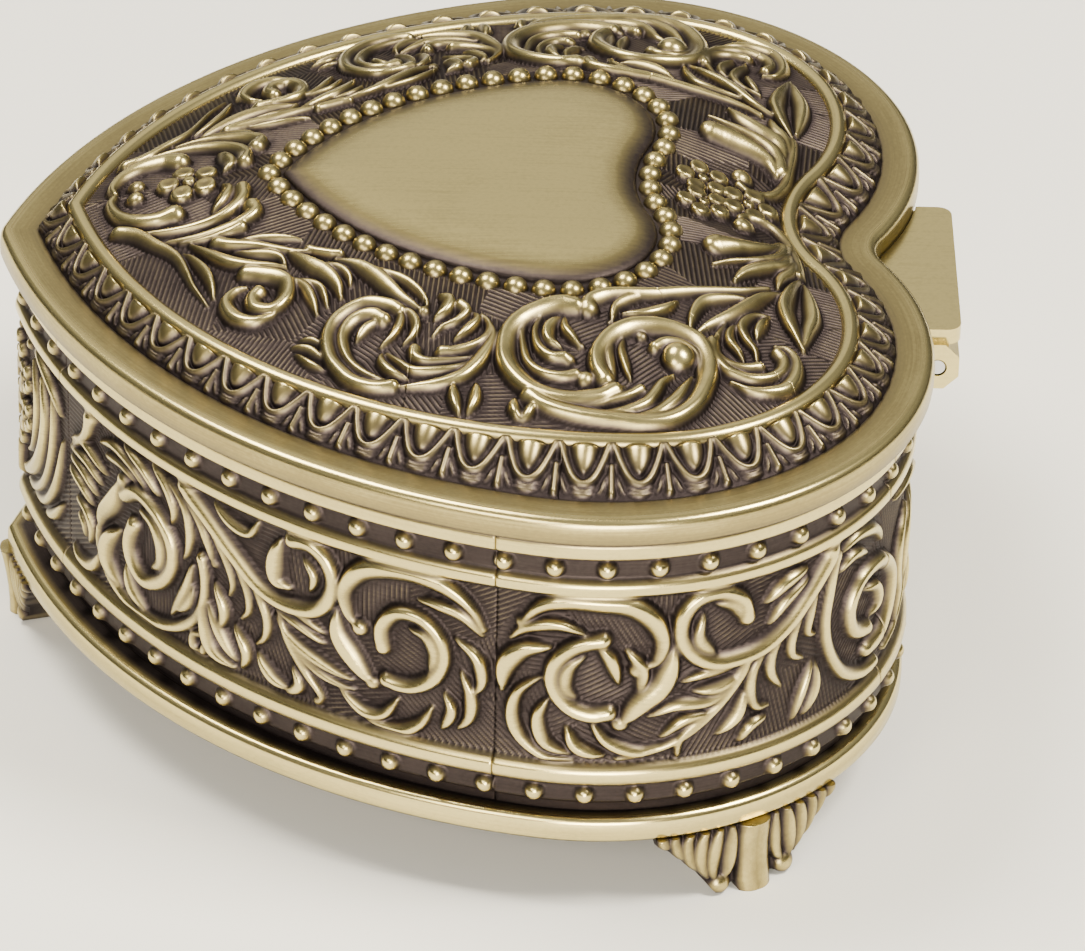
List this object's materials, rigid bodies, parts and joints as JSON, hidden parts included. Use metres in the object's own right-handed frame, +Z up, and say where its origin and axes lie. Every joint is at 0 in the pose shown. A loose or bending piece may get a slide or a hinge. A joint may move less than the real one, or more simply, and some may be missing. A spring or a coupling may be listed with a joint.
{
  "type": "trinket box",
  "caption": "Heart-shaped cast metal trinket box with scroll relief on its walls and lid, leaf feet, a rear hinge and velvet-lined inside.",
  "frame": {"origin": "centre of the bounding box, on the surface the feet stand on", "axes": "+Z up, -Y towards the heart's tip (the opening side), +Y towards the hinge, X across the heart"},
  "size_m": [0.086, 0.08, 0.045],
  "materials": {
    "antique_brass": "antiqued: dark recesses, brushed highlights",
    "steel": "bright drawn",
    "velvet": "short pile"
  },
  "bodies": {
    "box": {"base_plate": "antique_brass", "wall_tip": "antique_brass", "wall_side_left": "antique_brass", "wall_side_right": "antique_brass", "wall_lobe_left": "antique_brass", "wall_lobe_right": "antique_brass", "wall_back": "antique_brass", "foot_tip": "antique_brass", "foot_left": "antique_brass", "foot_right": "antique_brass", "hinge_bracket": "antique_brass", "hinge_pin": "steel", "foot_screws": "steel", "bracket_screws": "steel", "floor_lining": "velvet", "wall_lining_left": "velvet", "wall_lining_right": "velvet"},
    "lid": {"lid_cover": "antique_brass", "lid_plaque": "antique_brass", "lid_lining": "velvet", "hinge_leaf": "antique_brass", "leaf_screws": "steel"}
  },
  "joints": [
    {"name": "lid_hinge", "type": "hinge", "parent": "box", "child": "lid", "pos_m": [0, 0.0381, 0.033], "axis": [-1, 0, 0], "range_deg": [0, 100]}
  ]
}
